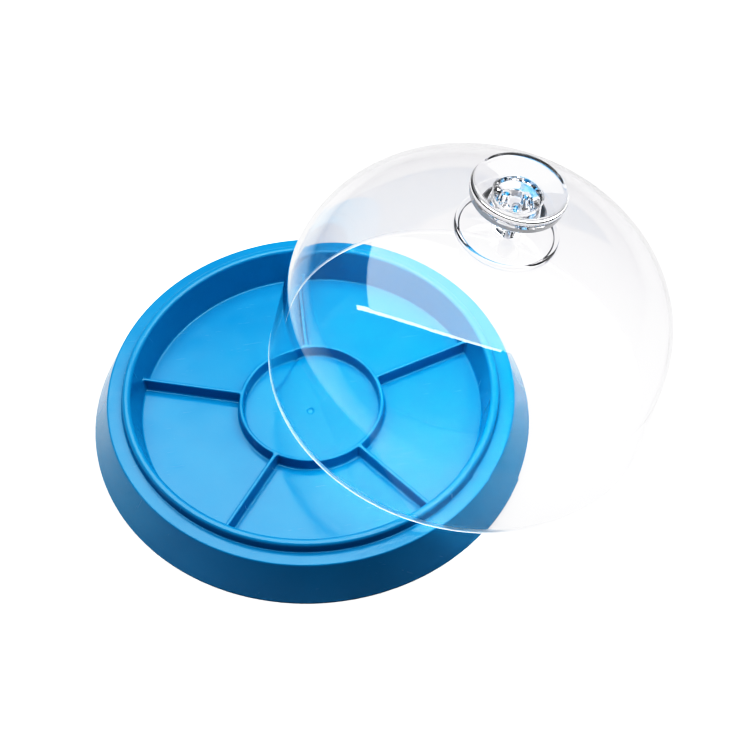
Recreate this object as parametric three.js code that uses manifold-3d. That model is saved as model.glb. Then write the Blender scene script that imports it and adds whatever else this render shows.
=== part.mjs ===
// A round divided dish with a clear domed cover and knob. The dish stands on the table and the
// cover leans on its rim. Millimetres, +Z up, origin on the table under the middle of the whole.
import * as THREE from "three";
import { mergeVertices } from "three/addons/utils/BufferGeometryUtils.js";
import Module from "manifold-3d";

// Dish: a thin moulding, hollow underneath, that stands on the lower edge of its skirt.
const DISH_RADIUS = 125;
const DISH_WALL = 2.4;
const LEDGE_RADIUS = 115.4;
const LEDGE_HEIGHT = 23.8;
const CREST_OUTER_RADIUS = 106.6;
const CREST_INNER_RADIUS = 102;
const CREST_HEIGHT = 29.8;
const FLOOR_RADIUS = 97.2;
const FLOOR_HEIGHT = 8;
const DIMPLE_RADIUS = 2.4;
const DIMPLE_DEPTH = 0.8;

// Dividers: a hub ring round the centre well, and straight walls from it to the crest wall.
const DIVIDER_COUNT = 5;
const DIVIDER_HEIGHT = 7.7;
const DIVIDER_TOP = 2.2;
const DIVIDER_FOOT = 3;
const DIVIDER_END_RADIUS = 99.2;
const DIVIDER_SINK = 0.6;
const FIRST_DIVIDER_DEGREES = 16.2;
const HUB_RADIUS = 41.2;

// Cover: a slightly tapered wall, a flattened dome, and a raised round pad for the knob.
const COVER_RADIUS = 110.6;
const COVER_WALL = 2.5;
const SHOULDER_HEIGHT = 45;
const SHOULDER_RADIUS = 109.2;
const DOME_RISE = 78.3;
const DOME_POWER = 2.4;
const DOME_STEPS = 14;
const PAD_RADIUS = 28.4;
const PAD_TOP = 125.2;

// Knob: a mushroom with a collar under its cap. Three pins on the pad fit blind holes in its neck.
const CAP_RADIUS = 26.6;
const CAP_TOP = 158;
const CAP_UNDERSIDE = 146.5;
const COLLAR_RADIUS = 12.4;
const COLLAR_BOTTOM = 138.5;
const NECK_RADIUS = 8.8;
const PIN_COUNT = 3;
const PIN_RADIUS = 2.1;
const PIN_CIRCLE_RADIUS = 5.6;
const PIN_TOP = 139;
const PIN_HOLE_TOP = 140.5;
const FIRST_PIN_DEGREES = 18;

// How the cover leans: its rim touches the table on the +X side and the dish's crest on both sides.
const LEAN_DEGREES = 10.85;
const COVER_SHIFT = 86.2;
const GAP = 0.3;

const DISH_SEGMENTS = 80;
const COVER_SEGMENTS = 72;
const KNOB_SEGMENTS = 36;
const SMALL_SEGMENTS = 12;
const FILLET_STEPS = 2;

const wasm = await Module();
wasm.setup();

function toSolid(geometry) {
  const bare = geometry.clone();
  bare.deleteAttribute("normal");
  bare.deleteAttribute("uv");
  const merged = mergeVertices(bare, 1e-3);
  const mesh = new wasm.Mesh({
    numProp: 3,
    vertProperties: merged.attributes.position.array,
    triVerts: new Uint32Array(merged.index.array),
  });
  return new wasm.Manifold(mesh);
}

function toGeometry(solid) {
  const mesh = solid.getMesh();
  const geometry = new THREE.BufferGeometry();
  geometry.setAttribute("position", new THREE.BufferAttribute(mesh.vertProperties, 3));
  geometry.setIndex(new THREE.BufferAttribute(mesh.triVerts, 1));
  geometry.computeVertexNormals();
  return geometry;
}

// Points along an outline whose corners are [x, y, fillet radius]. Corners with no radius stay sharp.
function filleted(corners, closed = false) {
  const at = (i) => new THREE.Vector2(...corners[(i + corners.length) % corners.length]);
  return corners.flatMap(([x, y, radius], i) => {
    const isEnd = !closed && (i === 0 || i === corners.length - 1);
    const corner = new THREE.Vector2(x, y);
    if (!radius || isEnd) return [corner];
    const back = at(i - 1).sub(corner).normalize();
    const ahead = at(i + 1).sub(corner).normalize();
    const half = Math.acos(THREE.MathUtils.clamp(back.dot(ahead), -1, 1)) / 2;
    const middle = back.clone().add(ahead).normalize();
    const centre = corner.clone().addScaledVector(middle, radius / Math.sin(half));
    const from = corner.clone().addScaledVector(back, radius / Math.tan(half)).sub(centre);
    const turn = (Math.PI - 2 * half) * Math.sign(back.cross(ahead)) * -1;
    return Array.from({ length: FILLET_STEPS + 1 }, (_, step) =>
      from.clone().rotateAround(new THREE.Vector2(), (turn * step) / FILLET_STEPS).add(centre),
    );
  });
}

// Turns a profile of [radius, height] points about +Z. It runs anticlockwise round the material.
function turned(points, segments) {
  return new THREE.LatheGeometry(points, segments).rotateX(Math.PI / 2);
}

function turnedRing(corners, segments) {
  const points = filleted(corners, true);
  return turned([...points, points[0].clone()], segments);
}

function onCircle(radius, degrees) {
  const angle = THREE.MathUtils.degToRad(degrees);
  return [radius * Math.cos(angle), radius * Math.sin(angle)];
}

// The dish's shell: floor, drafted inner wall, crest, ledge and flared skirt, one wall thick.
function dishShell() {
  const draft = (CREST_INNER_RADIUS - FLOOR_RADIUS) / (CREST_HEIGHT - FLOOR_HEIGHT);
  const underFloor = FLOOR_HEIGHT - DISH_WALL;
  const underLedge = LEDGE_HEIGHT - DISH_WALL;
  const wallBack = FLOOR_RADIUS + DISH_WALL;
  return turned(
    filleted([
      [0, underFloor, 0],
      [wallBack, underFloor, 2.5],
      [wallBack + draft * (underLedge - underFloor), underLedge, 0.8],
      [LEDGE_RADIUS - 0.9 * DISH_WALL, underLedge, 2],
      [DISH_RADIUS - DISH_WALL, 0, 0],
      [DISH_RADIUS, 0, 0],
      [LEDGE_RADIUS, LEDGE_HEIGHT, 1.2],
      [CREST_OUTER_RADIUS + 0.3, LEDGE_HEIGHT, 0.8],
      [CREST_OUTER_RADIUS, CREST_HEIGHT, 2],
      [CREST_INNER_RADIUS, CREST_HEIGHT, 2],
      [FLOOR_RADIUS, FLOOR_HEIGHT, 1.6],
      [0, FLOOR_HEIGHT, 0],
    ]),
    DISH_SEGMENTS,
  );
}

function hubRing() {
  const top = FLOOR_HEIGHT + DIVIDER_HEIGHT;
  const foot = FLOOR_HEIGHT - DIVIDER_SINK;
  const flare = (DIVIDER_FOOT - DIVIDER_TOP) / 2;
  return turnedRing(
    [
      [HUB_RADIUS - DIVIDER_TOP - flare, foot, 0],
      [HUB_RADIUS + flare, foot, 0],
      [HUB_RADIUS, top, 0.9],
      [HUB_RADIUS - DIVIDER_TOP, top, 0.9],
    ],
    DISH_SEGMENTS,
  );
}

// One straight divider from the hub ring's middle into the crest wall.
function divider(degrees) {
  const top = FLOOR_HEIGHT + DIVIDER_HEIGHT;
  const foot = FLOOR_HEIGHT - DIVIDER_SINK;
  const start = HUB_RADIUS - DIVIDER_TOP / 2;
  const section = filleted(
    [
      [-DIVIDER_FOOT / 2, foot, 0],
      [DIVIDER_FOOT / 2, foot, 0],
      [DIVIDER_TOP / 2, top, 0.9],
      [-DIVIDER_TOP / 2, top, 0.9],
    ],
    true,
  );
  return new THREE.ExtrudeGeometry(new THREE.Shape(section), {
    depth: DIVIDER_END_RADIUS - start,
    bevelEnabled: false,
  })
    .rotateX(Math.PI / 2)
    .rotateZ(Math.PI / 2)
    .translate(start, 0, 0)
    .rotateZ(THREE.MathUtils.degToRad(degrees));
}

// The small round dimple in the middle of the floor.
function dimple() {
  return turned(
    [
      new THREE.Vector2(0, FLOOR_HEIGHT - DIMPLE_DEPTH),
      new THREE.Vector2(DIMPLE_RADIUS * 0.55, FLOOR_HEIGHT - DIMPLE_DEPTH),
      new THREE.Vector2(DIMPLE_RADIUS, FLOOR_HEIGHT),
      new THREE.Vector2(DIMPLE_RADIUS, FLOOR_HEIGHT + 1),
      new THREE.Vector2(0, FLOOR_HEIGHT + 1),
    ],
    SMALL_SEGMENTS,
  );
}

function dividedDish() {
  let solid = toSolid(dishShell()).add(toSolid(hubRing()));
  for (let i = 0; i < DIVIDER_COUNT; i++) {
    const degrees = FIRST_DIVIDER_DEGREES + (i * 360) / DIVIDER_COUNT;
    solid = solid.add(toSolid(divider(degrees)));
  }
  return toGeometry(solid.subtract(toSolid(dimple())));
}

// Radius-and-height points of a flattened dome (a superellipse), from its shoulder up to a radius.
function domeArc(radius, rise, upTo) {
  const last = Math.acos(Math.pow(upTo / radius, DOME_POWER / 2));
  return Array.from({ length: DOME_STEPS + 1 }, (_, step) => {
    const angle = (last * step) / DOME_STEPS;
    return new THREE.Vector2(
      radius * Math.pow(Math.cos(angle), 2 / DOME_POWER),
      SHOULDER_HEIGHT + rise * Math.pow(Math.sin(angle), 2 / DOME_POWER),
    );
  });
}

function domeCover() {
  const padInside = PAD_RADIUS - COVER_WALL;
  const outside = domeArc(SHOULDER_RADIUS, DOME_RISE, PAD_RADIUS);
  const inside = domeArc(SHOULDER_RADIUS - COVER_WALL, DOME_RISE - COVER_WALL, padInside);
  const rimOuter = new THREE.Vector2(COVER_RADIUS, 0);
  const rimInner = new THREE.Vector2(COVER_RADIUS - COVER_WALL, 0);
  const padEdge = filleted([
    [PAD_RADIUS, outside.at(-1).y, 0],
    [PAD_RADIUS, PAD_TOP, 1],
    [0, PAD_TOP, 0],
  ]).slice(1);
  const padUnder = [
    new THREE.Vector2(0, PAD_TOP - COVER_WALL),
    new THREE.Vector2(padInside, PAD_TOP - COVER_WALL),
  ];
  const shell = turned(
    [...padUnder, ...inside.reverse(), rimInner, rimOuter, ...outside, ...padEdge],
    COVER_SEGMENTS,
  );
  let solid = toSolid(shell);
  for (const pin of uprights(PIN_RADIUS, PAD_TOP - COVER_WALL / 2, PIN_TOP)) {
    solid = solid.add(toSolid(pin));
  }
  return toGeometry(solid);
}

// Three upright cylinders on the pin circle, for the pad's pins and for their holes in the neck.
function uprights(radius, bottom, top) {
  return Array.from({ length: PIN_COUNT }, (_, i) => {
    const degrees = FIRST_PIN_DEGREES + (i * 360) / PIN_COUNT;
    return new THREE.CylinderGeometry(radius, radius, top - bottom, SMALL_SEGMENTS)
      .rotateX(Math.PI / 2)
      .translate(...onCircle(PIN_CIRCLE_RADIUS, degrees), (top + bottom) / 2);
  });
}

function coverKnob() {
  const foot = PAD_TOP + GAP;
  const body = turned(
    filleted([
      [0, foot, 0],
      [NECK_RADIUS, foot, 0.5],
      [NECK_RADIUS, COLLAR_BOTTOM - 4, 3],
      [COLLAR_RADIUS, COLLAR_BOTTOM, 1.5],
      [COLLAR_RADIUS, CAP_UNDERSIDE - 1, 1.5],
      [CAP_RADIUS - 1, CAP_UNDERSIDE + 1, 2.5],
      [CAP_RADIUS, CAP_TOP - 1.5, 3.5],
      [CAP_RADIUS - 12, CAP_TOP - 0.3, 0],
      [0, CAP_TOP, 0],
    ]),
    KNOB_SEGMENTS,
  );
  let solid = toSolid(body);
  for (const hole of uprights(PIN_RADIUS + GAP, foot - COVER_WALL, PIN_HOLE_TOP)) {
    solid = solid.subtract(toSolid(hole));
  }
  return toGeometry(solid);
}

const bluePlastic = new THREE.MeshStandardMaterial({
  color: 0x1f86d0,
  roughness: 0.22,
  metalness: 0,
});
const clearPlastic = new THREE.MeshStandardMaterial({
  color: 0xeef3f8,
  roughness: 0.04,
  metalness: 0,
  transparent: true,
  opacity: 0.25,
});

function named(name, geometry, material) {
  const mesh = new THREE.Mesh(geometry, material);
  mesh.name = name;
  return mesh;
}

const root = new THREE.Group();
root.add(named("divided_dish", dividedDish(), bluePlastic));

const cover = new THREE.Group();
const lean = THREE.MathUtils.degToRad(LEAN_DEGREES);
cover.add(named("dome_cover", domeCover(), clearPlastic));
cover.add(named("cover_knob", coverKnob(), clearPlastic.clone()));
cover.rotation.y = lean;
cover.position.set(COVER_SHIFT, 0, COVER_RADIUS * Math.sin(lean) + GAP);
root.add(cover);

// The whole arrangement is centred over the origin.
const extent = new THREE.Box3().setFromObject(root, true);
root.position.x = -(extent.min.x + extent.max.x) / 2;

export default root;
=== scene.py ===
"""Looks of a round divided dish and its clear domed cover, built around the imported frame.

Lengths with a name in capitals are millimetres, as on a drawing, unless the name says otherwise.
Meshes are scaled to metres as they are made, and lights and the camera are placed in metres.
"""
import math

import bmesh
import bpy
from mathutils import Matrix, Vector


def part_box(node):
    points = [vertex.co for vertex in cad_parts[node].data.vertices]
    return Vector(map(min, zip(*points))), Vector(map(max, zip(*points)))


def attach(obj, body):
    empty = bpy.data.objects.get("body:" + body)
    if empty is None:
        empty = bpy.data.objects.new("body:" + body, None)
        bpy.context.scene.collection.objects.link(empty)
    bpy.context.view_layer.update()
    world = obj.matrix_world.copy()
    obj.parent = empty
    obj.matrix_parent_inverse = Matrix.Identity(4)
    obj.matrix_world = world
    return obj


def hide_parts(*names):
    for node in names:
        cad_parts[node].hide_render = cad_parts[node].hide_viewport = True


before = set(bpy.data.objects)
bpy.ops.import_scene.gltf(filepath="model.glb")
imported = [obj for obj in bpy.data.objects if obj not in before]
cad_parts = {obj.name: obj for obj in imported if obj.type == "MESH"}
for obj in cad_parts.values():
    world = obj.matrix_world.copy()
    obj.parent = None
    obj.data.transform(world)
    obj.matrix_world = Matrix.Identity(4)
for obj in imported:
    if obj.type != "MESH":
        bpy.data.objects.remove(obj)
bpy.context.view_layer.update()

MM = 0.001

# Dish shell.
DISH_RADIUS = 125
DISH_WALL = 2.4
LEDGE_RADIUS = 115.4
LEDGE_HEIGHT = 23.8
CREST_OUTER_RADIUS = 106.6
CREST_INNER_RADIUS = 102
CREST_HEIGHT = 29.8
FLOOR_RADIUS = 97.2
FLOOR_HEIGHT = 8
WALL_DRAFT = (CREST_INNER_RADIUS - FLOOR_RADIUS) / (CREST_HEIGHT - FLOOR_HEIGHT)
CREST_FILLET = 2
LEDGE_INNER_FILLET = 0.8
LEDGE_OUTER_FILLET = 1.2
SKIRT_EDGE_FILLET = 0.5
UNDER_LEDGE_FILLET = 2
UNDER_CREST_FILLET = 0.8
UNDER_FLOOR_FILLET = 2.5
CREST_DRAFT = 0.3
SKIRT_INSET = 0.9 * DISH_WALL
FLAT_UNDERSIDE_INSET = 8
DIMPLE_RADIUS = 2.4
DIMPLE_SURROUND_RADIUS = 1.5 * DIMPLE_RADIUS
DIMPLE_FLOOR_RADIUS = 0.55 * DIMPLE_RADIUS
DIMPLE_DEPTH = 0.8
DIMPLE_RIM_FILLET = 0.25
DIMPLE_FOOT_FILLET = 0.4

# Dividers and hub ring.
DIVIDER_COUNT = 5
DIVIDER_HEIGHT = 7.7
DIVIDER_TOP = 2.2
DIVIDER_FOOT = 3
DIVIDER_FILLET = 0.9
WELL_FOOT_FILLET = 1.1
WELL_CORNER_FILLET = 1.5
FIRST_DIVIDER_DEGREES = 16.2
HUB_RADIUS = 41.2

# Cover.
COVER_RADIUS = 110.6
COVER_WALL = 2.5
SHOULDER_HEIGHT = 45
SHOULDER_RADIUS = 109.2
DOME_RISE = 78.3
DOME_POWER = 2.4
RIM_FILLET = 1.1
PAD_RADIUS = 28.4
PAD_TOP = 125.2
PAD_FILLET = 1.2
PAD_FOOT_FILLET = 0.9
PAD_INSIDE_FILLET = 0.6

# Knob, its pins and their holes.
CAP_RADIUS = 26.6
CAP_TOP = 158
CAP_UNDERSIDE = 146.5
COLLAR_RADIUS = 12.4
COLLAR_BOTTOM = 138.5
NECK_RADIUS = 8.8
PIN_COUNT = 3
PIN_RADIUS = 2.1
PIN_CIRCLE_RADIUS = 5.6
PIN_TOP = 139
PIN_HOLE_TOP = 140.5
FIRST_PIN_DEGREES = 18
PIN_FILLET = 0.6
NECK_FOOT_FILLET = 0.5
NECK_TOP_FILLET = 3
NECK_FLARE = 4
COLLAR_FILLET = 1.5
CAP_DRAFT = 1
CAP_LOWER_FILLET = 2.5
CAP_EDGE_FILLET = 3.5
CAP_EDGE_DROP = 1.5
CAP_CROWN_DROP = 0.3
CAP_CROWN_INSET = 12

# Clearance round the pins, under the knob and under the cover's low side.
GAP = 0.3

# How the cover leans.
LEAN_DEGREES = 10.85
COVER_SHIFT = 86.2

# Radius of the small flat faces that close a turned body or an inner skin on its axis.
AXIS_RADIUS = 0.5
PIN_AXIS_RADIUS = 0.2
DIMPLE_AXIS_RADIUS = 0.3

# Smoothness of the round stretches.
COVER_SEGMENTS = 288
KNOB_SEGMENTS = 192
SMALL_SEGMENTS = 40
FILLET_STEPS = 6
DOME_STEPS = 56
CORNER_STEPS = 6
WELL_ARC_POINTS = 56
HUB_ARC_POINTS = 28

# Camera: where it looks from, and where the dish's axis sits in its picture.
VIEW_TURN_DEGREES = 8.5
VIEW_DOWN_DEGREES = 52.68
VIEW_ROLL_DEGREES = -1.37
VIEW_DISTANCE = 1248.5
DISH_RIGHT_OF_CENTRE = -36.5
DISH_ABOVE_CENTRE = -10.2
LENS = 105.6
SENSOR = 36
NEAREST_SEEN_M = 0.01
FURTHEST_SEEN_M = 50

# Blue plastic, in linear red, green and blue. Heights of bumps are in metres.
BLUE_DEEP = (0.0012, 0.168, 0.345)
BLUE_PALE = (0.002, 0.188, 0.38)
BLUE_GRAIN = (0.006, 0.24, 0.47)
BLUE_WORN = (0.008, 0.23, 0.46)
BLUE_IOR = 1.4
GRAIN_STRENGTH = 0.12
SMOOTHEST_BLUE = 0.13
ROUGHEST_BLUE = 0.22
BLUE_SCUFF_ROUGHNESS = 0.12
WORN_ROUGHNESS = 0.2
WORN_EDGE_TOP_M = 0.0025
WORN_EDGE_FULL_M = 0.0002
BLUE_WAVE_HEIGHT_M = 0.0009
BLUE_GRAIN_HEIGHT_M = 0.00002

# Clear plastics. The frosting is over the lowest millimetres of the cover's wall.
# The cover's tint is its own faint lavender, made darker as painted shade: it stands in for the
# shadow that the cover does not throw on the dish.
COVER_TINT_AND_PAINTED_SHADE = (0.958, 0.951, 0.964)
COVER_IOR = 1.43
FROSTED_BELOW = 3.2
FROSTED_FULLY_BELOW = 0.6 * FROSTED_BELOW
FROSTED_ROUGHNESS = 0.55
KNOB_TINT = (0.99, 0.99, 1.0)
KNOB_IOR = 1.49
CLEAR_SCUFF_ROUGHNESS = 0.05

# Scratches: long thin noise, of which the part over a threshold shows.
SCRATCH_STRETCH = (1, 14, 1)
SCRATCH_EDGE = 0.06

# Floor: how bright it is to look at, seen mirrored in plastic or through it, and as it lights the
# dish. Leftward and frontward fades run between two places, in metres.
FLOOR_SIZE_M = 6
FLOOR_DROP_M = 0.0002
FLOOR_SEEN = 0.9
FLOOR_IN_PLASTIC_LEFT = 0.66
FLOOR_IN_PLASTIC_RIGHT = 0.48
FLOOR_IN_PLASTIC_FRONT = 0.12
FLOOR_BOUNCE = 0.05
FLOOR_BOUNCE_LEFT = 0.5
LEFTWARD_FADE_M = (-0.02, -0.17)
FRONTWARD_FADE_M = (-0.06, -0.22)
FLOOR_ROUGHNESS = 0.9

# World: strength by how far a direction points away from the front, from -1 to 1.
WORLD_COLOUR = (0.97, 0.98, 1)
WORLD_FADE = (-0.6, 0.3)
WORLD_FRONT_STRENGTH = 0.04
WORLD_BACK_STRENGTH = 0.32

# Lights hanging over the dish, with middle and size in metres.
LIGHT_HEIGHT_M = 1.3
TOP_LIGHT = dict(middle=(0.17, 0.295), width=2.0, depth=1.09, turn_degrees=-25, radiance=4.6)
STRIP_LIGHT = dict(middle=(-0.43, -0.03), width=1.9, depth=0.08, turn_degrees=-24.5, radiance=15)

# Tone curve between black and white: brightness before and after.
TONES = ((0.02, 0.006), (0.09, 0.05), (0.21, 0.185), (0.45, 0.51), (0.8, 0.93))
COMBINED_CURVE = 3

dish_low, dish_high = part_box("divided_dish")
DISH_AXIS = (dish_low.x + dish_high.x) / 2 / MM
LEAN = math.radians(LEAN_DEGREES)
SECTOR = 2 * math.pi / DIVIDER_COUNT

dish_place = Matrix.Translation((DISH_AXIS, 0, 0))
cover_place = Matrix.Translation(
    (DISH_AXIS + COVER_SHIFT, 0, COVER_RADIUS * math.sin(LEAN) + GAP)
) @ Matrix.Rotation(LEAN, 4, "Y")


# ---- Outlines ----------------------------------------------------------------------------------

def spread(first, last, count):
    """count evenly spaced values from first to last."""
    return [first + (last - first) * i / (count - 1) for i in range(count)]


def arc(centre, radius, start, end, steps):
    """Points on an arc in a plane, from one angle to another, in radians."""
    return [
        Vector((centre.x + radius * math.cos(a), centre.y + radius * math.sin(a)))
        for a in spread(start, end, steps + 1)
    ]


def rounded(corners):
    """Points along an open outline of (x, y, fillet radius) corners. Its two ends stay sharp."""
    points = []
    for i, (x, y, radius) in enumerate(corners):
        corner = Vector((x, y))
        if radius == 0 or i in (0, len(corners) - 1):
            points.append(corner)
            continue
        back = (Vector(corners[i - 1][:2]) - corner).normalized()
        ahead = (Vector(corners[i + 1][:2]) - corner).normalized()
        half = back.angle(ahead) / 2
        centre = corner + (back + ahead).normalized() * radius / math.sin(half)
        from_centre = corner + back * radius / math.tan(half) - centre
        side = -1 if back.x * ahead.y - back.y * ahead.x > 0 else 1
        start = math.atan2(from_centre.y, from_centre.x)
        points += arc(centre, radius, start, start + side * (math.pi - 2 * half), FILLET_STEPS)
    return points


# ---- Skins -------------------------------------------------------------------------------------

class Skin:
    """Points and faces of one closed body, in millimetres."""

    def __init__(self):
        self.points = []
        self.faces = []

    def loop(self, points):
        start = len(self.points)
        self.points += [tuple(p) for p in points]
        return list(range(start, len(self.points)))

    def bridge(self, one, other):
        """Quads between two closed loops with the same number of points."""
        count = len(one)
        for i in range(count):
            j = (i + 1) % count
            self.faces.append((one[i], one[j], other[j], other[i]))

    def cap(self, loop):
        self.faces.append(tuple(loop))

    def piece(self, name, place):
        """The finished object: smooth, closed, with its faces pointing out, in metres."""
        mesh = bpy.data.meshes.new(name)
        mesh.from_pydata(self.points, [], self.faces)
        work = bmesh.new()
        work.from_mesh(mesh)
        bmesh.ops.recalc_face_normals(work, faces=work.faces)
        work.to_mesh(mesh)
        work.free()
        mesh.transform(Matrix.Scale(MM, 4) @ place)
        mesh.shade_smooth()
        piece = bpy.data.objects.new(name, mesh)
        bpy.context.scene.collection.objects.link(piece)
        return piece


def ring(radius, height, angles):
    return [(radius * math.cos(a), radius * math.sin(a), height) for a in angles]


def turned(name, outline, segments, place):
    """A body turned round its axis from an outline of radius and height, with two flat ends."""
    angles = [2 * math.pi * i / segments for i in range(segments)]
    skin = Skin()
    loops = [skin.loop(ring(p.x, p.y, angles)) for p in outline]
    for below, above in zip(loops, loops[1:]):
        skin.bridge(below, above)
    skin.cap(loops[0])
    skin.cap(loops[-1])
    return skin.piece(name, place)


def joined(piece, others, operation):
    """Cuts or joins other bodies, which are used up, and keeps the result in piece."""
    for other in others:
        modifier = piece.modifiers.new("join", "BOOLEAN")
        modifier.operation = operation
        modifier.solver = "EXACT"
        modifier.object = other
    depsgraph = bpy.context.evaluated_depsgraph_get()
    mesh = bpy.data.meshes.new_from_object(piece.evaluated_get(depsgraph))
    piece.modifiers.clear()
    piece.data = mesh
    for other in others:
        bpy.data.objects.remove(other)
    return piece


def even_shading(piece):
    """Large flat faces keep their own direction, so fillets shade as fillets."""
    piece.modifiers.new("even shading", "WEIGHTED_NORMAL")


# ---- Dish --------------------------------------------------------------------------------------

def wall_radius(height):
    return FLOOR_RADIUS + WALL_DRAFT * (height - FLOOR_HEIGHT)


def well_levels():
    """Height, half the divider's width there and the outer wall's radius, from the top down."""
    top = FLOOR_HEIGHT + DIVIDER_HEIGHT
    half_top = DIVIDER_TOP / 2
    half_foot = DIVIDER_FOOT / 2
    levels = []
    for turn in spread(0, math.pi / 2, FILLET_STEPS + 1):
        height = top - DIVIDER_FILLET * (1 - math.cos(turn))
        half = half_top - DIVIDER_FILLET * (1 - math.sin(turn))
        levels.append((height, half, wall_radius(height)))
    foot = FLOOR_HEIGHT + WELL_FOOT_FILLET
    for turn in spread(0, math.pi / 2, FILLET_STEPS + 1):
        inward = WELL_FOOT_FILLET * (1 - math.cos(turn))
        height = foot - WELL_FOOT_FILLET * math.sin(turn)
        levels.append((height, half_foot + inward, wall_radius(foot) - inward))
    return levels


def well_outline(half, hub, outer, corner_hub):
    """One outer well in plan, between dividers at minus and plus half a sector.

    It runs along the outer arc, in along the plus divider, round the hub and out along the other.
    """
    along = Vector((math.cos(SECTOR / 2), math.sin(SECTOR / 2)))
    across = Vector((-along.y, along.x))

    def corner_centre(reach, radius):
        away = half + radius
        return along * math.sqrt(reach * reach - away * away) - across * away

    outer_centre = corner_centre(outer - WELL_CORNER_FILLET, WELL_CORNER_FILLET)
    hub_centre = corner_centre(hub + corner_hub, corner_hub)
    outer_end = math.atan2(outer_centre.y, outer_centre.x)
    hub_end = math.atan2(hub_centre.y, hub_centre.x)
    facing = math.atan2(across.y, across.x)
    origin = Vector((0, 0))
    outer_arc = arc(origin, outer, -outer_end, outer_end, WELL_ARC_POINTS - 1)
    outer_corner = arc(outer_centre, WELL_CORNER_FILLET, outer_end, facing, CORNER_STEPS)[1:]
    hub_corner = arc(hub_centre, corner_hub, facing, hub_end + math.pi, CORNER_STEPS)
    hub_arc = arc(origin, hub, hub_end, -hub_end, HUB_ARC_POINTS - 1)[1:-1]
    plus_side = outer_corner + hub_corner
    minus_side = [Vector((p.x, -p.y)) for p in reversed(plus_side)]
    return outer_arc + plus_side + hub_arc + minus_side


# Points on each side of a well: both corners, less the point shared with the outer arc.
SIDE_POINTS = 2 * CORNER_STEPS + 1


def outer_well(skin, middle):
    """Adds one outer well and returns its top loop."""
    turn = Matrix.Rotation(middle, 2)
    loops = []
    for height, half, outer in well_levels():
        hub = HUB_RADIUS - DIVIDER_TOP / 2 + half
        corner_hub = WELL_CORNER_FILLET + max(0, DIVIDER_TOP / 2 - half)
        outline = well_outline(half, hub, outer, corner_hub)
        loops.append(skin.loop([(*(turn @ p), height) for p in outline]))
    for above, below in zip(loops, loops[1:]):
        skin.bridge(above, below)
    skin.cap(loops[-1])
    return loops[0]


def centre_well(skin, angles):
    """Adds the round well inside the hub, with its dimple, and returns its top loop."""
    middle = HUB_RADIUS - DIVIDER_TOP / 2
    outline = [Vector((middle - half, height)) for height, half, _ in well_levels()]
    outline += rounded([
        (DIMPLE_SURROUND_RADIUS, FLOOR_HEIGHT, 0),
        (DIMPLE_RADIUS, FLOOR_HEIGHT, DIMPLE_RIM_FILLET),
        (DIMPLE_FLOOR_RADIUS, FLOOR_HEIGHT - DIMPLE_DEPTH, DIMPLE_FOOT_FILLET),
        (DIMPLE_AXIS_RADIUS, FLOOR_HEIGHT - DIMPLE_DEPTH, 0),
    ])
    loops = [skin.loop(ring(p.x, p.y, angles)) for p in outline]
    for above, below in zip(loops, loops[1:]):
        skin.bridge(above, below)
    skin.cap(loops[-1])
    return loops[0]


def outside(skin, top_loop, angles):
    """Adds everything from the wall above the dividers over the crest to the underside."""
    top = FLOOR_HEIGHT + DIVIDER_HEIGHT
    under_floor = FLOOR_HEIGHT - DISH_WALL
    under_ledge = LEDGE_HEIGHT - DISH_WALL
    wall_back = FLOOR_RADIUS + DISH_WALL
    outline = rounded([
        (wall_radius(top), top, 0),
        (CREST_INNER_RADIUS, CREST_HEIGHT, CREST_FILLET),
        (CREST_OUTER_RADIUS, CREST_HEIGHT, CREST_FILLET),
        (CREST_OUTER_RADIUS + CREST_DRAFT, LEDGE_HEIGHT, LEDGE_INNER_FILLET),
        (LEDGE_RADIUS, LEDGE_HEIGHT, LEDGE_OUTER_FILLET),
        (DISH_RADIUS, 0, SKIRT_EDGE_FILLET),
        (DISH_RADIUS - DISH_WALL, 0, SKIRT_EDGE_FILLET),
        (LEDGE_RADIUS - SKIRT_INSET, under_ledge, UNDER_LEDGE_FILLET),
        (wall_back + WALL_DRAFT * (under_ledge - under_floor), under_ledge, UNDER_CREST_FILLET),
        (wall_back, under_floor, UNDER_FLOOR_FILLET),
        (wall_back - FLAT_UNDERSIDE_INSET, under_floor, 0),
    ])
    loops = [top_loop] + [skin.loop(ring(p.x, p.y, angles)) for p in outline[1:]]
    for above, below in zip(loops, loops[1:]):
        skin.bridge(above, below)
    skin.cap(loops[-1])


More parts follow.
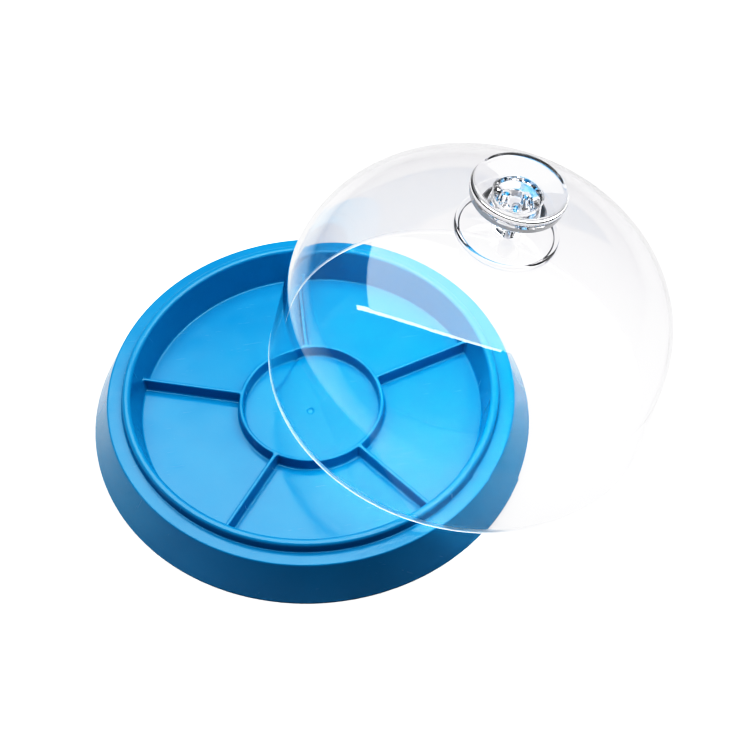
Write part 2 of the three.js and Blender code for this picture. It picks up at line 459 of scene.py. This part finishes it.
def divided_dish():
    skin = Skin()
    top = FLOOR_HEIGHT + DIVIDER_HEIGHT
    first = math.radians(FIRST_DIVIDER_DEGREES)
    middles = [first + SECTOR * (i + 0.5) for i in range(DIVIDER_COUNT)]
    wells = [outer_well(skin, middle) for middle in middles]

    # The wall's loop runs along every well's outer arc and over the end of the divider after it.
    wall_loop = []
    wall_angles = []
    hub_angles = []
    hub_loop = []
    outer_arc = slice(0, WELL_ARC_POINTS)
    hub_start = WELL_ARC_POINTS + SIDE_POINTS - 1
    hub_arc = slice(hub_start, hub_start + HUB_ARC_POINTS)
    for well, middle in zip(wells, middles):
        end = middle + SECTOR / 2
        gap_point = skin.loop(ring(wall_radius(top), top, [end]))
        wall_loop += well[outer_arc] + gap_point
        hub_side = list(reversed(well[hub_arc]))
        hub_loop.append(hub_side)
        for index in well[outer_arc]:
            x, y, _ = skin.points[index]
            wall_angles.append(math.atan2(y, x))
        wall_angles.append(end)
        for index in hub_side:
            x, y, _ = skin.points[index]
            hub_angles.append(math.atan2(y, x))
        hub_angles.append(end)
    outside(skin, wall_loop, wall_angles)
    inner = centre_well(skin, hub_angles)

    # The flat tops: along each divider, and round the hub.
    for i, well in enumerate(wells):
        after = wells[(i + 1) % DIVIDER_COUNT]
        plus_side = well[WELL_ARC_POINTS - 1:WELL_ARC_POINTS + SIDE_POINTS]
        minus_side = [after[0]] + list(reversed(after[-SIDE_POINTS:]))
        gap_point = wall_loop[(i + 1) * (WELL_ARC_POINTS + 1) - 1]
        skin.faces.append((plus_side[0], gap_point, minus_side[0]))
        for near in range(SIDE_POINTS):
            far = near + 1
            skin.faces.append((plus_side[near], minus_side[near], minus_side[far], plus_side[far]))
        start = i * (HUB_ARC_POINTS + 1)
        inner_side = inner[start:start + HUB_ARC_POINTS]
        here = hub_loop[i]
        for k in range(HUB_ARC_POINTS - 1):
            skin.faces.append((here[k], here[k + 1], inner_side[k + 1], inner_side[k]))
        inner_gap = inner[start + HUB_ARC_POINTS]
        inner_after = inner[(start + HUB_ARC_POINTS + 1) % len(inner)]
        skin.faces.append((here[-1], minus_side[-1], inner_after, inner_gap, inner_side[-1]))
    piece = skin.piece("dish_body", dish_place)
    even_shading(piece)
    return piece


# ---- Cover and knob ----------------------------------------------------------------------------

def dome_arc(radius, rise, up_to):
    """Sharp corners up a flattened dome, a superellipse, from its shoulder in to a radius."""
    last = math.acos((up_to / radius) ** (DOME_POWER / 2))
    return [
        (
            radius * math.cos(angle) ** (2 / DOME_POWER),
            SHOULDER_HEIGHT + rise * math.sin(angle) ** (2 / DOME_POWER),
            0,
        )
        for angle in spread(0, last, DOME_STEPS + 1)
    ]


def dome_shell():
    pad_inside = PAD_RADIUS - COVER_WALL
    pad_under = PAD_TOP - COVER_WALL
    outside_arc = dome_arc(SHOULDER_RADIUS, DOME_RISE, PAD_RADIUS)
    inside_arc = dome_arc(SHOULDER_RADIUS - COVER_WALL, DOME_RISE - COVER_WALL, pad_inside)
    pad_foot = (PAD_RADIUS, outside_arc[-1][1], PAD_FOOT_FILLET)
    recess_edge = (pad_inside, inside_arc[-1][1], PAD_INSIDE_FILLET)
    outline = rounded([
        (AXIS_RADIUS, pad_under, 0),
        (pad_inside, pad_under, PAD_INSIDE_FILLET),
        recess_edge,
        *reversed(inside_arc[:-1]),
        (COVER_RADIUS - COVER_WALL, 0, RIM_FILLET),
        (COVER_RADIUS, 0, RIM_FILLET),
        *outside_arc[:-1],
        pad_foot,
        (PAD_RADIUS, PAD_TOP, PAD_FILLET),
        (AXIS_RADIUS, PAD_TOP, 0),
    ])
    return turned("cover_dome", outline, COVER_SEGMENTS, cover_place)


def uprights(name, radius, bottom, top):
    """Three upright round bodies on the pin circle, with rounded upper ends."""
    outline = rounded([
        (PIN_AXIS_RADIUS, bottom, 0),
        (radius, bottom, 0),
        (radius, top, PIN_FILLET),
        (PIN_AXIS_RADIUS, top, 0),
    ])
    bodies = []
    for i in range(PIN_COUNT):
        angle = math.radians(FIRST_PIN_DEGREES) + 2 * math.pi * i / PIN_COUNT
        x = PIN_CIRCLE_RADIUS * math.cos(angle)
        y = PIN_CIRCLE_RADIUS * math.sin(angle)
        place = cover_place @ Matrix.Translation((x, y, 0))
        bodies.append(turned(name, outline, SMALL_SEGMENTS, place))
    return bodies


def dome_cover():
    pins = uprights("pin", PIN_RADIUS, PAD_TOP - COVER_WALL / 2, PIN_TOP)
    piece = joined(dome_shell(), pins, "UNION")
    even_shading(piece)
    return piece


def cover_knob():
    foot = PAD_TOP + GAP
    outline = rounded([
        (AXIS_RADIUS, foot, 0),
        (NECK_RADIUS, foot, NECK_FOOT_FILLET),
        (NECK_RADIUS, COLLAR_BOTTOM - NECK_FLARE, NECK_TOP_FILLET),
        (COLLAR_RADIUS, COLLAR_BOTTOM, COLLAR_FILLET),
        (COLLAR_RADIUS, CAP_UNDERSIDE - CAP_DRAFT, COLLAR_FILLET),
        (CAP_RADIUS - CAP_DRAFT, CAP_UNDERSIDE + CAP_DRAFT, CAP_LOWER_FILLET),
        (CAP_RADIUS, CAP_TOP - CAP_EDGE_DROP, CAP_EDGE_FILLET),
        (CAP_RADIUS - CAP_CROWN_INSET, CAP_TOP - CAP_CROWN_DROP, 0),
        (AXIS_RADIUS, CAP_TOP, 0),
    ])
    body = turned("cover_grip", outline, KNOB_SEGMENTS, cover_place)
    holes = uprights("hole", PIN_RADIUS + GAP, foot - COVER_WALL, PIN_HOLE_TOP)
    piece = joined(body, holes, "DIFFERENCE")
    even_shading(piece)
    return piece


# ---- Materials ---------------------------------------------------------------------------------

# The Mix node has several sockets of the same name, so its colour sockets are found by number.
MIX_COLOURS_IN = (6, 7)
MIX_COLOUR_OUT = 2


class Look:
    """A material under construction: one Principled shader, with its nodes added by name."""

    def __init__(self, name):
        self.material = bpy.data.materials.new(name)
        self.material.use_nodes = True
        self.tree = self.material.node_tree
        self.tree.nodes.clear()
        output = self.tree.nodes.new("ShaderNodeOutputMaterial")
        self.shader = self.tree.nodes.new("ShaderNodeBsdfPrincipled")
        self.tree.links.new(self.shader.outputs[0], output.inputs["Surface"])
        self.place = self.tree.nodes.new("ShaderNodeTexCoord").outputs["Object"]

    def link(self, source, socket):
        self.tree.links.new(source, socket)

    def set(self, **values):
        for name, value in values.items():
            self.shader.inputs[name.replace("_", " ")].default_value = value

    def noise(self, scale, detail=3, roughness=0.5, stretch=None, turn=0, distortion=0):
        node = self.tree.nodes.new("ShaderNodeTexNoise")
        node.inputs["Scale"].default_value = scale
        node.inputs["Detail"].default_value = detail
        node.inputs["Roughness"].default_value = roughness
        node.inputs["Distortion"].default_value = distortion
        place = self.place
        if stretch:
            mapping = self.tree.nodes.new("ShaderNodeMapping")
            mapping.inputs["Scale"].default_value = stretch
            mapping.inputs["Rotation"].default_value = (0, 0, turn)
            self.link(place, mapping.inputs["Vector"])
            place = mapping.outputs["Vector"]
        self.link(place, node.inputs["Vector"])
        return node.outputs["Fac"]

    def remap(self, value, low, high, to_low=0.0, to_high=1.0):
        node = self.tree.nodes.new("ShaderNodeMapRange")
        node.inputs["From Min"].default_value = low
        node.inputs["From Max"].default_value = high
        node.inputs["To Min"].default_value = to_low
        node.inputs["To Max"].default_value = to_high
        self.link(value, node.inputs["Value"])
        return node.outputs["Result"]

    def maths(self, operation, one, other):
        node = self.tree.nodes.new("ShaderNodeMath")
        node.operation = operation
        for socket, value in zip(node.inputs, (one, other)):
            if isinstance(value, (int, float)):
                socket.default_value = value
            else:
                self.link(value, socket)
        return node.outputs[0]

    def mix(self, factor, one, other):
        """One colour fading into another by a factor."""
        node = self.tree.nodes.new("ShaderNodeMix")
        node.data_type = "RGBA"
        self.link(factor, node.inputs["Factor"])
        for number, value in zip(MIX_COLOURS_IN, (one, other)):
            socket = node.inputs[number]
            if isinstance(value, tuple):
                socket.default_value = (*value, 1)
            else:
                self.link(value, socket)
        return node.outputs[MIX_COLOUR_OUT]

    def bump(self, height, distance, strength=1.0, under=None):
        node = self.tree.nodes.new("ShaderNodeBump")
        node.inputs["Strength"].default_value = strength
        node.inputs["Distance"].default_value = distance
        self.link(height, node.inputs["Height"])
        if under:
            self.link(under, node.inputs["Normal"])
        return node.outputs["Normal"]

    def height_above_table(self):
        node = self.tree.nodes.new("ShaderNodeSeparateXYZ")
        self.link(self.place, node.inputs[0])
        return node.outputs["Z"]

    def distance_along(self, place):
        """How far, in metres, the surface lies up the axis of a place that is given in mm."""
        axis = (place.to_3x3() @ Vector((0, 0, 1))).normalized()
        start = place.to_translation() * MM
        node = self.tree.nodes.new("ShaderNodeVectorMath")
        node.operation = "DOT_PRODUCT"
        node.inputs[1].default_value = axis
        self.link(self.place, node.inputs[0])
        return self.maths("SUBTRACT", node.outputs["Value"], start.dot(axis))


def scratches(look, scale, turn, threshold):
    """Thin faint lines along one direction, turned by radians, as a 0 to 1 mask."""
    lines = look.noise(scale, detail=2, roughness=0.6, stretch=SCRATCH_STRETCH, turn=turn)
    return look.remap(lines, threshold, threshold + SCRATCH_EDGE)


def crossed_scratches(look, one, other, threshold):
    """Scratches in two directions, each given as a scale and a turn."""
    return look.maths(
        "MAXIMUM", scratches(look, *one, threshold), scratches(look, *other, threshold)
    )


def blue_plastic():
    """Glossy moulded plastic: slow colour drift, fine grain, faint scuffs, a worn lower edge."""
    look = Look("blue_plastic")
    drift = look.remap(look.noise(scale=22, distortion=0.6), low=0.3, high=0.7)
    colour = look.mix(drift, BLUE_DEEP, BLUE_PALE)
    speckle = look.noise(scale=1400, detail=2)
    grain = look.remap(speckle, low=0.3, high=0.7, to_high=GRAIN_STRENGTH)
    colour = look.mix(grain, colour, BLUE_GRAIN)
    patches = look.remap(
        look.noise(scale=70, detail=4, roughness=0.6),
        low=0.35,
        high=0.75,
        to_low=SMOOTHEST_BLUE,
        to_high=ROUGHEST_BLUE,
    )
    scuffs = crossed_scratches(look, (60, 0.5), (48, 2.1), threshold=0.68)
    edge = look.remap(look.height_above_table(), WORN_EDGE_TOP_M, WORN_EDGE_FULL_M)
    chips = look.remap(look.noise(scale=260, detail=4, roughness=0.7), low=0.45, high=0.62)
    worn = look.maths("MULTIPLY", edge, chips)
    colour = look.mix(worn, colour, BLUE_WORN)
    roughness = look.maths("ADD", patches, look.maths("MULTIPLY", scuffs, BLUE_SCUFF_ROUGHNESS))
    roughness = look.maths("ADD", roughness, look.maths("MULTIPLY", worn, WORN_ROUGHNESS))
    slow_noise = look.noise(scale=26, detail=2, roughness=0.4)
    waves = look.bump(slow_noise, BLUE_WAVE_HEIGHT_M, strength=0.25)
    fine_noise = look.noise(scale=900, detail=2)
    skin = look.bump(fine_noise, BLUE_GRAIN_HEIGHT_M, strength=0.5, under=waves)
    look.link(colour, look.shader.inputs["Base Color"])
    look.link(roughness, look.shader.inputs["Roughness"])
    look.link(skin, look.shader.inputs["Normal"])
    look.set(IOR=BLUE_IOR)
    return look.material


def clear_plastic(name, tint_and_painted_shade, ior, haze, wave_scale, wave_height, frosted=False):
    """Clear plastic with faint haze, hairline scuffs, slight waviness and perhaps a frosted rim."""
    look = Look(name)
    cloudy_noise = look.noise(scale=30, detail=5, roughness=0.65)
    patches = look.remap(cloudy_noise, low=0.45, high=0.8, to_high=haze)
    scuffs = crossed_scratches(look, (55, 0.9), (42, 2.4), threshold=0.72)
    roughness = look.maths("ADD", patches, look.maths("MULTIPLY", scuffs, CLEAR_SCUFF_ROUGHNESS))
    if frosted:
        above_rim = look.distance_along(cover_place)
        edge = look.remap(above_rim, FROSTED_BELOW * MM, FROSTED_FULLY_BELOW * MM)
        roughness = look.maths("ADD", roughness, look.maths("MULTIPLY", edge, FROSTED_ROUGHNESS))
    look.link(roughness, look.shader.inputs["Roughness"])
    slow_noise = look.noise(wave_scale, detail=2, roughness=0.4)
    waves = look.bump(slow_noise, wave_height, strength=0.3)
    look.link(waves, look.shader.inputs["Normal"])
    # The tint darkens all that is seen through the plastic. The cover's is partly painted shade for
    # the shadow it does not throw.
    look.set(Base_Color=(*tint_and_painted_shade, 1), Transmission_Weight=1.0, IOR=ior)
    return look.material


# ---- Pieces ------------------------------------------------------------------------------------

def finish_piece(piece, node, body, material):
    piece.data.materials.clear()
    piece.data.materials.append(material)
    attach(piece, body)
    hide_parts(node)


finish_piece(divided_dish(), "divided_dish", "dish", blue_plastic())
dome = dome_cover()
cover_plastic = clear_plastic(
    "clear_cover", COVER_TINT_AND_PAINTED_SHADE, COVER_IOR, haze=0.03, wave_scale=9, wave_height=0.0012, frosted=True
)
finish_piece(dome, "dome_cover", "cover", cover_plastic)
grip = cover_knob()
knob_plastic = clear_plastic(
    "clear_knob", KNOB_TINT, KNOB_IOR, haze=0.1, wave_scale=60, wave_height=0.0002
)
finish_piece(grip, "cover_knob", "cover", knob_plastic)

# Light reaches the dish through clear plastic, so the clear pieces throw no shadow. The cover's
# darker tint paints that shade instead, over all that is seen through it.
for clear_piece in (dome, grip):
    clear_piece.visible_shadow = False


# ---- Studio ------------------------------------------------------------------------------------

def grey(value):
    return (value, value, value)


def studio_floor():
    """A plain pale floor, bright to look at and less bright to every ray that plastic sends on.

    Rays through clear plastic count as glossy, as mirrored ones do. The dish gets a weak light from
    the floor, mostly from the left.
    """
    mesh = bpy.data.meshes.new("floor")
    half = FLOOR_SIZE_M / 2
    corners = [(-half, -half, 0), (half, -half, 0), (half, half, 0), (-half, half, 0)]
    mesh.from_pydata(corners, [], [(0, 1, 2, 3)])
    floor = bpy.data.objects.new("floor", mesh)
    bpy.context.scene.collection.objects.link(floor)
    floor.location.z = -FLOOR_DROP_M
    look = Look("floor")
    path = look.tree.nodes.new("ShaderNodeLightPath")
    split = look.tree.nodes.new("ShaderNodeSeparateXYZ")
    look.link(look.place, split.inputs[0])
    leftward = look.remap(split.outputs["X"], *LEFTWARD_FADE_M)
    frontward = look.remap(split.outputs["Y"], *FRONTWARD_FADE_M)
    in_plastic = look.mix(leftward, grey(FLOOR_IN_PLASTIC_RIGHT), grey(FLOOR_IN_PLASTIC_LEFT))
    in_plastic = look.mix(frontward, in_plastic, grey(FLOOR_IN_PLASTIC_FRONT))
    colour = look.mix(path.outputs["Is Glossy Ray"], grey(FLOOR_SEEN), in_plastic)
    bounced = look.mix(leftward, grey(FLOOR_BOUNCE), grey(FLOOR_BOUNCE_LEFT))
    colour = look.mix(path.outputs["Is Diffuse Ray"], colour, bounced)
    look.link(colour, look.shader.inputs["Base Color"])
    look.set(Roughness=FLOOR_ROUGHNESS, Specular_IOR_Level=0.0)
    mesh.materials.append(look.material)


def studio_world():
    """Weak light all round, weakest in front of the dish."""
    world = bpy.data.worlds.new("studio")
    bpy.context.scene.world = world
    world.use_nodes = True
    tree = world.node_tree
    tree.nodes.clear()
    output = tree.nodes.new("ShaderNodeOutputWorld")
    background = tree.nodes.new("ShaderNodeBackground")
    direction = tree.nodes.new("ShaderNodeTexCoord").outputs["Generated"]
    split = tree.nodes.new("ShaderNodeSeparateXYZ")
    tree.links.new(direction, split.inputs[0])
    fade = tree.nodes.new("ShaderNodeMapRange")
    fade.interpolation_type = "SMOOTHSTEP"
    fade.inputs["From Min"].default_value = WORLD_FADE[0]
    fade.inputs["From Max"].default_value = WORLD_FADE[1]
    fade.inputs["To Min"].default_value = WORLD_FRONT_STRENGTH
    fade.inputs["To Max"].default_value = WORLD_BACK_STRENGTH
    tree.links.new(split.outputs["Y"], fade.inputs["Value"])
    tree.links.new(fade.outputs[0], background.inputs["Strength"])
    background.inputs["Color"].default_value = (*WORLD_COLOUR, 1)
    tree.links.new(background.outputs[0], output.inputs["Surface"])


def hanging_light(name, middle, width, depth, turn_degrees, radiance):
    """A soft light that hangs level over the dish, turned about the vertical, facing down."""
    light = bpy.data.lights.new(name, "AREA")
    light.shape = "RECTANGLE"
    light.size = width
    light.size_y = depth
    light.energy = radiance * math.pi * width * depth
    lamp = bpy.data.objects.new(name, light)
    lamp.location = (*middle, LIGHT_HEIGHT_M)
    lamp.rotation_euler.z = math.radians(turn_degrees)
    bpy.context.scene.collection.objects.link(lamp)


def tone_curve():
    """Deeper shadows and brighter highlights, as in a product photograph."""
    settings = bpy.context.scene.view_settings
    settings.view_transform = "Standard"
    settings.use_curve_mapping = True
    curve = settings.curve_mapping.curves[COMBINED_CURVE]
    for dark, seen in TONES:
        curve.points.new(dark, seen)
    settings.curve_mapping.update()


def camera():
    turn = math.radians(VIEW_TURN_DEGREES)
    down = math.radians(VIEW_DOWN_DEGREES)
    roll = math.radians(VIEW_ROLL_DEGREES)
    forward = Vector((
        math.sin(turn) * math.cos(down),
        math.cos(turn) * math.cos(down),
        -math.sin(down),
    ))
    level_right = Vector((math.cos(turn), -math.sin(turn), 0))
    level_up = level_right.cross(forward)
    right = level_right * math.cos(roll) + level_up * math.sin(roll)
    up = right.cross(forward)
    dish = Vector((DISH_AXIS, 0, LEDGE_HEIGHT)) * MM
    dish_in_view = right * DISH_RIGHT_OF_CENTRE + up * DISH_ABOVE_CENTRE + forward * VIEW_DISTANCE
    eye = dish - dish_in_view * MM
    data = bpy.data.cameras.new("camera")
    data.lens = LENS
    data.sensor_width = SENSOR
    data.clip_start = NEAREST_SEEN_M
    data.clip_end = FURTHEST_SEEN_M
    view = bpy.data.objects.new("camera", data)
    facing = Matrix((right, up, -forward)).transposed().to_4x4()
    view.matrix_world = Matrix.Translation(eye) @ facing
    bpy.context.scene.collection.objects.link(view)
    bpy.context.scene.camera = view


studio_floor()
studio_world()
hanging_light("top_light", **TOP_LIGHT)
hanging_light("strip_light", **STRIP_LIGHT)
camera()
tone_curve()
